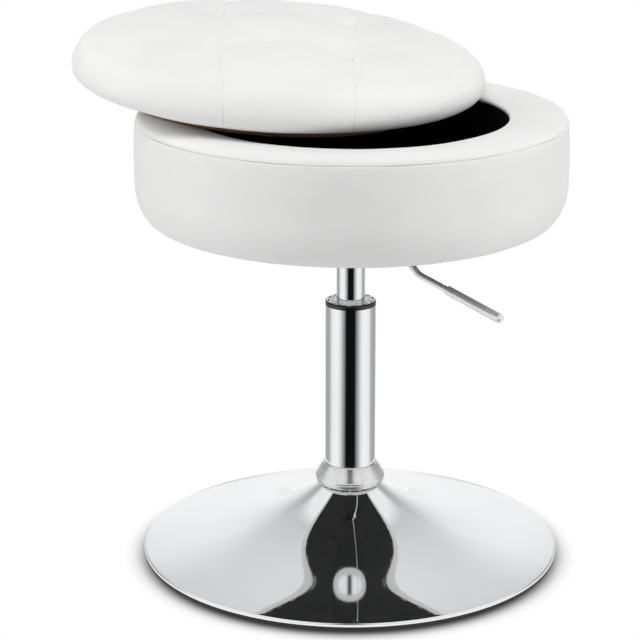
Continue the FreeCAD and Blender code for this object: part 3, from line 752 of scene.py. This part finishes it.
def rim_held(spot):
    """The seam, the lip at the opening and the face on the board are held."""
    r = math.hypot(spot.x, spot.y)
    if spot.z < SEAM_Z + RIM_TIED or r < OPENING_R + RIM_TIED:
        return 1.0
    return LOOSE_TIE + SEAM_TIE * (1 - ease(RIM_TIED, RIM_LOOSE, spot.z - SEAM_Z))


def rim_depth(spot, normal):
    """Slack of the cover and small puckers along the seam."""
    r = math.hypot(spot.x, spot.y)
    if spot.z < SEAM_Z or r < OPENING_R + LIP_KEPT:
        return 0.0
    outside = ease(SEAM_R - RIM_PUCKER_REACH, SEAM_R, r)
    return slack(spot, RIM_SLACK) + outside * puckers(spot, RIM_PUCKER_END)


rim_line = [(SEAM_R - back - START_INSET, SEAM_Z + rise) for back, rise in RIM_FOOT]
rim_line += rim_round()
rim_line += [(OPENING_R + back, LINING_TOP - drop) for back, drop in RIM_LIP]
rim_line += [
    (LINING_R + LIP_BACK, BOARD_TOP + BOARD_GAP),
    (WALL_R - BOARD_EDGE, BOARD_TOP + BOARD_GAP),
    (WALL_R + CORNER_GAP, BOARD_TOP + CORNER_GAP),
    (WALL_R + CORNER_GAP, SEAM_Z + SEAM_TOUCH),
]
rim = lathe("drum_rim", rim_line, COVER_STEPS, closed=True)
inflate(rim, rim_held, START_INSET)
shift(rim, rim_depth)
dress(rim, "white_leather", "seat", "rim_cover", "rim_pad")

# Lining of the store, thin sheets

LINING_EDGE = 0.006
LINING_BACK = 0.0007
LINING_FLARE = 0.0003
LINING_TUCK = 0.0006
LINING_LIFT = 0.0004
LINER_STEPS = 288
WALL_POINTS, BEND_POINTS, FLOOR_POINTS = 22, 6, 40
SHEET_STEPS = 192
RIPPLES = 9
RIPPLE_RISE = 4
RIPPLE_DEPTH = 0.0009
RIPPLE_LOW = 0.02
RIPPLE_HIGH = 0.012
FLOOR_R = OPENING_R - LINING_EDGE
FLOOR_OVER = 0.0005
EDGE_FOLD = 0.0001
FLOOR_WAVE = 0.0008
FLOOR_WAVE_SIZE = 22
FLOOR_FLAT, FLOOR_STUCK = 0.02, 0.005


def drift(spot):
    """Slow pattern between 0 and 1."""
    return 0.5 + 0.5 * noise.noise(spot)


def ripple_depth(spot, normal):
    """Small upright ripples of a cloth that is glued to the wall at its edges."""
    share = ease(LINING_LOW, LINING_LOW + RIPPLE_LOW, spot.z)
    share *= 1 - ease(LINING_TOP - RIPPLE_HIGH, LINING_TOP, spot.z)
    turn = math.atan2(spot.x, spot.y)
    place = Vector((RIPPLES * math.cos(turn), RIPPLES * math.sin(turn), RIPPLE_RISE * spot.z))
    outward = Vector((spot.x, spot.y, 0)).dot(normal) > 0
    return (1 if outward else -1) * RIPPLE_DEPTH * share * drift(place)


lining_r = OPENING_R + LINING_BACK
lining_z = LINING_LOW + LINING_LIFT
bend = (lining_r - LINING_EDGE, lining_z + LINING_EDGE)
wall_line = straight((lining_r + LINING_FLARE, LINING_TOP - LINING_TUCK), (lining_r, bend[1]), WALL_POINTS)
wall_line += oval(bend, LINING_EDGE, LINING_EDGE, 0, -90, BEND_POINTS)
liner_wall = lathe("liner_wall_cloth", wall_line, LINER_STEPS)
shift(liner_wall, ripple_depth)
dress(liner_wall, "dark_lining", "seat", "liner_wall")

floor_edge = FLOOR_R + FLOOR_OVER
floor_line = straight((0.0, lining_z), (floor_edge, lining_z), FLOOR_POINTS)
floor_line.append((floor_edge + EDGE_FOLD, lining_z - EDGE_FOLD))
liner_floor = lathe("liner_floor_cloth", floor_line, SHEET_STEPS)
for vertex in liner_floor.data.vertices:
    r = math.hypot(vertex.co.x, vertex.co.y)
    inside = 1 - ease(OPENING_R - FLOOR_FLAT, OPENING_R - FLOOR_STUCK, r)
    vertex.co.z += FLOOR_WAVE * inside * drift(vertex.co * FLOOR_WAVE_SIZE)
dress(liner_floor, "dark_lining", "seat", "liner_floor")

# Dust cover under the drum, a thin sheet that staples hold

STAPLES = 40
STAPLE_INSET = 0.004
STAPLE_RING = TURN_R - STAPLE_INSET
STAPLE_HALF = 0.005
STAPLE_LEG = 0.004
STAPLE_PROUD = 0.0003
STAPLE_STRAY = 0.06
STAPLE_SLANT = 0.12
STRAY_RATE = 7.3
SLANT_RATE = 3.1
WIRE_HALF = 0.0005
WIRE_FACES = ((0, 1, 2, 3), (4, 5, 6, 7), (0, 1, 5, 4), (1, 2, 6, 5), (2, 3, 7, 6), (3, 0, 4, 7))
DUST_POINTS = 44
DUST_LIFT = 0.0006
DUST_INSET = 0.0006
DUST_EDGE_LIFT = 0.0004
DUST_FOLD_OUT = 0.0002
DUST_FOLD_DOWN = 0.0001
SAG = 0.0016
SAG_SIZE = 28
SAG_REACH = 0.02
PLATE_CLEAR = (0.108, 0.122)

dust_edge = (TURN_R - DUST_INSET, DRUM_BOTTOM + DUST_EDGE_LIFT)
dust_line = straight((0.0, DRUM_BOTTOM + DUST_LIFT), dust_edge, DUST_POINTS)
dust_line.append((dust_edge[0] + DUST_FOLD_OUT, dust_edge[1] - DUST_FOLD_DOWN))
dust = lathe("dust_cover_cloth", dust_line, SHEET_STEPS)
for vertex in dust.data.vertices:
    r = math.hypot(vertex.co.x, vertex.co.y)
    inside = (1 - ease(STAPLE_RING - SAG_REACH, STAPLE_RING, r)) * ease(*PLATE_CLEAR, r)
    vertex.co.z -= SAG * inside * drift(vertex.co * SAG_SIZE)
dress(dust, "dark_lining", "seat", "dust_cover", finish="dust_cloth")

staple_verts, staple_faces = [], []


def add_wire(start, end, side_way, up_way):
    """Adds one straight length of flat wire to the staples."""
    base = len(staple_verts)
    for spot in (start, end):
        for a, b in CORNERS:
            staple_verts.append(spot + side_way * (a * WIRE_HALF) + up_way * (b * WIRE_HALF))
    for ring in WIRE_FACES:
        staple_faces.append([base + i for i in ring])


for i in range(STAPLES):
    turn = 2 * math.pi * (i + 0.5) / STAPLES + STAPLE_STRAY * math.sin(STRAY_RATE * i)
    out = Vector((math.cos(turn), math.sin(turn), 0))
    along = Vector((-math.sin(turn), math.cos(turn), 0)) + out * STAPLE_SLANT * math.sin(SLANT_RATE * i)
    along.normalize()
    across = UP.cross(along)
    middle = out * STAPLE_RING + UP * (DRUM_BOTTOM - STAPLE_PROUD)
    left, right = middle - along * STAPLE_HALF, middle + along * STAPLE_HALF
    add_wire(left, right, across, UP)
    for leg in (left + along * WIRE_HALF, right - along * WIRE_HALF):
        add_wire(leg, leg + UP * STAPLE_LEG, across, along)
staples = add_mesh("staples", staple_verts, staple_faces)
smooth(staples.data, False)
dress(staples, "steel", "seat")

# Lid cushion: closed cover that a cloth simulation swells between its tufts and seams

LID_START_INSET = 0.002
LID_STEPS = 240
LID_FLAT_POINTS, LID_EDGE_POINTS, LID_CROWN_POINTS = 30, 14, 36
VOXEL = 0.005
EVEN_SHARE = 0.5
EVEN_ROUNDS = 3
LID_LEAN = 0.0147
LEAN_RISE = 0.03
TUFT_HALF = 0.066
TUFT_SHIFT = Vector((0.005, -0.005))
TUFT_DEPTH = 0.0135
TUFT_SPREAD = 0.018
TUFT_POWER = 1.3
TUFT_LEFT, TUFT_RIGHT = TUFT_SHIFT.x - TUFT_HALF, TUFT_SHIFT.x + TUFT_HALF
TUFT_FRONT, TUFT_BACK = TUFT_SHIFT.y - TUFT_HALF, TUFT_SHIFT.y + TUFT_HALF
TUFTS = [Vector((x, y)) for x in (TUFT_LEFT, TUFT_RIGHT) for y in (TUFT_FRONT, TUFT_BACK)]
# Sewn seams of the lid: where each starts, and its way to the edge
LID_SEAMS = [
    (Vector((TUFT_LEFT, TUFT_FRONT)), Vector((0.14, -1)).normalized()),
    (Vector((TUFT_RIGHT, TUFT_FRONT)), Vector((0.02, -1)).normalized()),
    (Vector((TUFT_LEFT, TUFT_BACK)), Vector((0.08, 1)).normalized()),
    (Vector((TUFT_RIGHT, TUFT_BACK)), Vector((0.16, 1)).normalized()),
]
# How firmly the cover is tied, from 0 to 1, and over which spans
LID_LOOSE_TIE = 0.05
LID_EDGE_TIE = 0.65
LID_SEAM_TIE = 0.4
EDGE_TIE_IN, EDGE_TIE_OUT = 0.03, 0.004
TUFT_TIE_SPAN = (0.006, 0.034)
SEAM_TIE_SPAN = (0.002, 0.008)
BOARD_TIE_Z = 0.002
BOARD_TIE_OUT = 0.006
# Sewn grooves, slack and pleats
SEAM_WIDTH = 0.0018
SEAM_DEPTH = 0.0008
SEAM_SPAN = (0.001, 0.008)
SEAM_CUTS = (-0.0040, -0.0020, -0.0010, -0.0005, 0, 0.0005, 0.0010, 0.0020, 0.0040)
LID_SLACK = ((18, 0.0005), (55, 0.00015))
PLEATS = 8
PLEAT_DEPTH = 0.0005
PLEAT_STRAY = 1.2
PLEAT_START = (0.003, 0.010)
PLEAT_END = (0.014, 0.042)
# Soft valleys as (depth, width)
SEAM_VALLEY = (0.0004, 0.005)
CREASE_LINE = (0.0002, 0.0015)
CREASE_VALLEY = (0.0020, 0.014)
TUFT_PINCH = (0.0015, 0.0035)
# The underside within its turned-in edge, drawn up into the board
UNDER_INSET = 0.0105
UNDER_BELOW = 0.0008
UNDER_Z = 0.0006


def lid_line():
    """Outline of the cushion from the middle of its underside to its crown, before it swells."""
    side_h = LID_SIDE_H - LID_START_INSET
    end = math.atan(side_h / (LID_SIDE * math.tan(LID_CROWN)))
    shoulder = (LID_R - LID_SIDE + LID_SIDE * math.cos(end), LID_EQUATOR + side_h * math.sin(end))
    crown_r = shoulder[0] / math.sin(LID_CROWN)
    crown_z = shoulder[1] - crown_r * math.cos(LID_CROWN)
    foot_r = LID_R - LID_ROUND
    low = LID_START_INSET / 3 - LID_COVER
    line = straight((0.0, low), (foot_r, low), LID_FLAT_POINTS)
    under, over = (foot_r, LID_EQUATOR), (LID_R - LID_SIDE, LID_EQUATOR)
    line += oval(under, LID_ROUND, LID_EQUATOR - low, 270, 360, LID_EDGE_POINTS)[:-1]
    line += oval(over, LID_SIDE, side_h, 0, math.degrees(end), LID_EDGE_POINTS)
    for i in range(1, LID_CROWN_POINTS):
        turn = LID_CROWN * (1 - i / LID_CROWN_POINTS)
        line.append((crown_r * math.sin(turn), crown_z + crown_r * math.cos(turn)))
    return line + [(0.0, crown_z + crown_r)]


def tuft_gap(spot):
    """Distance from the nearest tuft, seen from above."""
    return min((spot.xy - tuft).length for tuft in TUFTS)


def tuft_drop(gap):
    """Depth of the soft funnel at a distance from its tuft."""
    return TUFT_DEPTH * math.exp(-(gap / TUFT_SPREAD) ** TUFT_POWER)


def seam_gap(spot):
    """Distance from the nearest sewn seam."""
    gaps = []
    for start, way in LID_SEAMS:
        off = spot.xy - start
        gaps.append(abs(off.cross(way)) if off.dot(way) > 0 else off.length)
    return min(gaps)


def crease_gap(spot):
    """Distance from the nearest crease, which joins two tufts."""
    beside = max(0.0, abs(spot.x - TUFT_SHIFT.x) - TUFT_HALF)
    beyond = max(0.0, abs(spot.y - TUFT_SHIFT.y) - TUFT_HALF)
    row = min(abs(spot.y - TUFT_FRONT), abs(spot.y - TUFT_BACK))
    column = min(abs(spot.x - TUFT_LEFT), abs(spot.x - TUFT_RIGHT))
    return min(math.hypot(beside, row), math.hypot(beyond, column))


def lid_held(spot):
    """The tufts and the face on the board are tied, the seams and the edge are drawn in."""
    r = math.hypot(spot.x, spot.y)
    if spot.z < BOARD_TIE_Z and r < LID_BOARD_R + BOARD_TIE_OUT:
        return 1.0
    tie = LID_LOOSE_TIE + LID_EDGE_TIE * ease(LID_R - EDGE_TIE_IN, LID_R - EDGE_TIE_OUT, r)
    if spot.z > LID_EQUATOR:
        at_tuft = 1 - ease(*TUFT_TIE_SPAN, tuft_gap(spot))
        at_seam = LID_SEAM_TIE * (1 - ease(*SEAM_TIE_SPAN, seam_gap(spot)))
        tie = max(tie, at_tuft, at_seam)
    return tie


def lid_depth(spot, normal):
    """Seam grooves with a soft valley, creases, small pleats round the tufts and the slack of the cover."""
    gap = seam_gap(spot)
    groove = SEAM_DEPTH * max(0.0, 1 - (2 * gap / SEAM_WIDTH) ** 2)
    depth = slack(spot, LID_SLACK)
    depth += ease(*SEAM_SPAN, spot.z) * (groove + valley(gap, *SEAM_VALLEY))
    if spot.z <= LID_EQUATOR:
        return depth
    crease = crease_gap(spot)
    depth += valley(crease, *CREASE_LINE) + valley(crease, *CREASE_VALLEY)
    off = min((spot.xy - tuft for tuft in TUFTS), key=lambda way: way.length)
    turn = math.atan2(off.y, off.x)
    fade = ease(*PLEAT_START, off.length) * (1 - ease(*PLEAT_END, off.length))
    depth += PLEAT_DEPTH * fade * math.cos(PLEATS * turn + PLEAT_STRAY * math.sin(turn))
    return depth + valley(off.length, *TUFT_PINCH)


lid = lathe("lid_cushion", lid_line(), LID_STEPS)
remesh = lid.modifiers.new("remesh", "REMESH")
remesh.mode = "VOXEL"
remesh.voxel_size = VOXEL
even = lid.modifiers.new("even", "SMOOTH")
even.factor = EVEN_SHARE
even.iterations = EVEN_ROUNDS
bake(lid)
for vertex in lid.data.vertices:
    if vertex.co.z > LID_EQUATOR:
        fuller = LID_LEAN * vertex.co.x * ease(LID_EQUATOR, LID_EQUATOR + LEAN_RISE, vertex.co.z)
        vertex.co.z -= fuller + tuft_drop(tuft_gap(vertex.co))
inflate(lid, lid_held, LID_START_INSET)
finer = lid.modifiers.new("finer", "SUBSURF")
finer.levels = 1
finer.render_levels = 1
bake(lid)
lid_cuts = []
for start, way in LID_SEAMS:
    across = Vector((way.y, -way.x, 0))
    lid_cuts += [(start.to_3d() + step * across, across) for step in SEAM_CUTS]
cut_lines(lid, lid_cuts)
shift(lid, lid_depth)
for vertex in lid.data.vertices:
    r = math.hypot(vertex.co.x, vertex.co.y)
    if vertex.co.z < UNDER_BELOW and r < LID_BOARD_R - UNDER_INSET:
        vertex.co.z = UNDER_Z
lid.data.transform(LID_PLACE)
dress(lid, "white_leather", "lid", "lid_cover", "lid_foam")

# Studio helpers

WHITE = (1, 1, 1, 1)
COLOUR_A, COLOUR_B, COLOUR_OUT = 6, 7, 2


def stage_piece(name, verts, faces, look):
    """Piece of the stage, with its material."""
    mesh = bpy.data.meshes.new(name)
    mesh.from_pydata(verts, [], faces)
    mesh.materials.append(look)
    piece = bpy.data.objects.new(name, mesh)
    scene.collection.objects.link(piece)
    return piece


def bare_tree(block):
    """Emptied node tree of a material or the world."""
    block.use_nodes = True
    block.node_tree.nodes.clear()
    return block.node_tree


def maths(tree, operation, first, second=0.0):
    """Result of a maths node on two values."""
    inputs = ((0, first), (1, second))
    return add_node(tree, "ShaderNodeMath", inputs, operation=operation).outputs["Value"]


def mix_colours(tree, share, first, second):
    """Mixes two colours by a share, through the colour sockets of a mix node."""
    inputs = ((0, share), (COLOUR_A, first), (COLOUR_B, second))
    return add_node(tree, "ShaderNodeMix", inputs, data_type="RGBA").outputs[COLOUR_OUT]


def mix_shaders(tree, share, first, second):
    """Mixes two shaders by a share."""
    inputs = ((0, share), (1, first), (2, second))
    return add_node(tree, "ShaderNodeMixShader", inputs).outputs["Shader"]


def seen_rays(tree, path):
    """1 for what the camera sees, straight or through clear plastic, else 0."""
    return maths(tree, "MAXIMUM", path.outputs["Is Camera Ray"], path.outputs["Is Transmission Ray"])


def bearing_ramp(tree, parts, stops):
    """Grey ramp over the bearing of a vector: 0 is the front, 1 the back, and both sides are alike."""
    side_on = maths(tree, "ABSOLUTE", parts.outputs["X"])
    front_on = maths(tree, "MULTIPLY", parts.outputs["Y"], -1)
    turn = maths(tree, "ARCTAN2", side_on, front_on)
    share = maths(tree, "DIVIDE", turn, math.pi)
    ramp = add_node(tree, "ShaderNodeValToRGB", (("Fac", share),))
    fill_ramp(ramp.color_ramp, [(position, (level,) * 3) for position, level in stops])
    return ramp.outputs["Color"]


# Floor: lit near the base, with a painted contact shadow that darkens its paper toward the base, white
# further off and in mirrors, clear from below

FLOOR_HALF = 6
# Painted contact shadow: its middle, moved toward the front, and the span over which it fades out
PAINTED_SHADOW_SHIFT = 0.013
PAINTED_SHADOW_IN, PAINTED_SHADOW_OUT = 0.1950, 0.2205
WHITE_IN, WHITE_OUT = 0.198, 0.229
PAPER = (0.86, 0.86, 0.86, 1)
# Colour of the painted contact shadow
PAINTED_SHADOW = (0.05, 0.05, 0.05, 1)


def floor_look():
    look = bpy.data.materials.new("floor")
    tree = bare_tree(look)
    place = add_node(tree, "ShaderNodeNewGeometry")
    path = add_node(tree, "ShaderNodeLightPath")
    seen = seen_rays(tree, path)
    ends = ((0, place.outputs["Position"]), (1, (0, PAINTED_SHADOW_SHIFT, 0)))
    moved = add_node(tree, "ShaderNodeVectorMath", ends, operation="ADD").outputs["Vector"]
    reach = add_node(tree, "ShaderNodeVectorMath", ((0, moved),), operation="LENGTH").outputs["Value"]
    # Painted contact shadow: share of its dark colour, highest at the base, only for what the camera sees
    near = map_range(tree, reach, (PAINTED_SHADOW_IN, PAINTED_SHADOW_OUT, 1, 0), "SMOOTHSTEP")
    away = map_range(tree, reach, (WHITE_IN, WHITE_OUT, 0, 1), "SMOOTHSTEP")
    paper_with_painted_shadow = mix_colours(tree, maths(tree, "MULTIPLY", near, seen), PAPER, PAINTED_SHADOW)
    lit = add_node(tree, "ShaderNodeBsdfDiffuse", (("Color", paper_with_painted_shadow),)).outputs["BSDF"]
    glow = add_node(tree, "ShaderNodeEmission", (("Color", WHITE),)).outputs["Emission"]
    bright = maths(tree, "MULTIPLY", away, seen)
    white = maths(tree, "MAXIMUM", bright, path.outputs["Is Glossy Ray"])
    above = mix_shaders(tree, white, lit, glow)
    below = add_node(tree, "ShaderNodeBsdfTransparent").outputs["BSDF"]
    surface = mix_shaders(tree, place.outputs["Backfacing"], above, below)
    add_node(tree, "ShaderNodeOutputMaterial", (("Surface", surface),))
    return look


floor_corners = [(x * FLOOR_HALF, y * FLOOR_HALF, 0) for x, y in CORNERS]
stage_piece("floor", floor_corners, [(0, 1, 2, 3)], floor_look())

# Greys of the studio in mirrors over the bearing, from the front to the back: floor, low sky and high sky

BACK_GREYS = (
    (0.50, 0.92), (0.60, 0.45), (0.72, 0.40), (0.80, 0.45), (0.84, 0.58), (0.87, 0.73), (0.90, 0.87),
    (0.935, 0.96), (1.0, 0.98),
)
FLOOR_GREYS = ((0.0, 0.006), (0.105, 0.006), (0.17, 0.32), (0.28, 0.90), (0.36, 1.0), *BACK_GREYS)
LOW_SKY = ((0.0, 0.92), *BACK_GREYS)
HIGH_SKY = ((0.0, 0.10), (0.04, 0.12), (0.09, 0.70), (0.16, 0.92), (0.74, 0.92), (0.80, 0.62), (1.0, 0.82))
HIGH_FROM, HIGH_TO = 0.42, 0.58

# Mirror card: ring on the floor with the walls' grey that only mirrors show

CARD_IN, CARD_OUT = 0.26, 60.0
CARD_RISE = 0.001
CARD_PARTS = 96


def card_look():
    look = bpy.data.materials.new("mirror_card")
    tree = bare_tree(look)
    place = add_node(tree, "ShaderNodeNewGeometry")
    parts = add_node(tree, "ShaderNodeSeparateXYZ", (("Vector", place.outputs["Position"]),))
    grey = bearing_ramp(tree, parts, FLOOR_GREYS)
    glow = add_node(tree, "ShaderNodeEmission", (("Color", grey),)).outputs["Emission"]
    add_node(tree, "ShaderNodeOutputMaterial", (("Surface", glow),))
    return look


card_spots, card_faces = [], []
for i in range(CARD_PARTS):
    turn = 2 * math.pi * i / CARD_PARTS
    card_spots += [(r * math.cos(turn), r * math.sin(turn), CARD_RISE) for r in (CARD_IN, CARD_OUT)]
    here, there = 2 * i, 2 * ((i + 1) % CARD_PARTS)
    card_faces.append((here, here + 1, there + 1, there))
card = stage_piece("mirror_card", card_spots, card_faces, card_look())
card.visible_camera = False
card.visible_diffuse = False
card.visible_shadow = False
card.visible_transmission = False

# Surroundings: plain fill light, white to the camera, and the grey walls of a studio in mirrors

FILL = 0.43


def backdrop(tree, colour, strength=1.0):
    """Background of one colour."""
    inputs = (("Color", colour), ("Strength", strength))
    return add_node(tree, "ShaderNodeBackground", inputs).outputs["Background"]


def studio_world():
    world = bpy.data.worlds.new("studio")
    tree = bare_tree(world)
    path = add_node(tree, "ShaderNodeLightPath")
    way = add_node(tree, "ShaderNodeTexCoord").outputs["Generated"]
    parts = add_node(tree, "ShaderNodeSeparateXYZ", (("Vector", way),))
    height = map_range(tree, parts.outputs["Z"], (HIGH_FROM, HIGH_TO, 0, 1))
    low = bearing_ramp(tree, parts, LOW_SKY)
    high = bearing_ramp(tree, parts, HIGH_SKY)
    walls = backdrop(tree, mix_colours(tree, height, low, high))
    light = mix_shaders(tree, path.outputs["Is Glossy Ray"], backdrop(tree, WHITE, FILL), walls)
    surface = mix_shaders(tree, seen_rays(tree, path), light, backdrop(tree, WHITE))
    add_node(tree, "ShaderNodeOutputWorld", (("Surface", surface),))
    return world


scene.world = studio_world()

# Lamps

KEY_AIM = (0, 0, 0.45)
SIDE_AIM = (0, 0, 0.35)
SIDE_OUT = 1.9


def softbox(name, spot, aim, size, power):
    """Square area lamp turned toward a point."""
    data = bpy.data.lights.new(name, "AREA")
    data.size = size
    data.energy = power
    lamp = bpy.data.objects.new(name, data)
    lamp.location = spot
    lamp.rotation_euler = (Vector(aim) - Vector(spot)).to_track_quat("-Z", "Y").to_euler()
    lamp.visible_glossy = False
    scene.collection.objects.link(lamp)


softbox("key", spot=(0.0, -0.85, 2.3), aim=KEY_AIM, size=1.4, power=21.5)
for name, out in (("left", -SIDE_OUT), ("right", SIDE_OUT)):
    softbox(name + "_high", spot=(out, 0.1, 1.2), aim=SIDE_AIM, size=1.2, power=4.5)
    softbox(name + "_low", spot=(out, -0.3, 0.4), aim=SIDE_AIM, size=0.8, power=6.5)

# Camera at the photograph's viewing angle

CAMERA_SPOT = (0, -2.1477, 0.8924)
CAMERA_TILT = math.radians(73.034)
CAMERA_PAN = math.radians(0.803)
LENS = 128.54
SENSOR = 36

camera_data = bpy.data.cameras.new("camera")
camera_data.sensor_width = SENSOR
camera_data.lens = LENS
camera = bpy.data.objects.new("camera", camera_data)
camera.location = CAMERA_SPOT
camera.rotation_euler = (CAMERA_TILT, 0, CAMERA_PAN)
scene.collection.objects.link(camera)
scene.camera = camera
scene.view_settings.view_transform = "Standard"
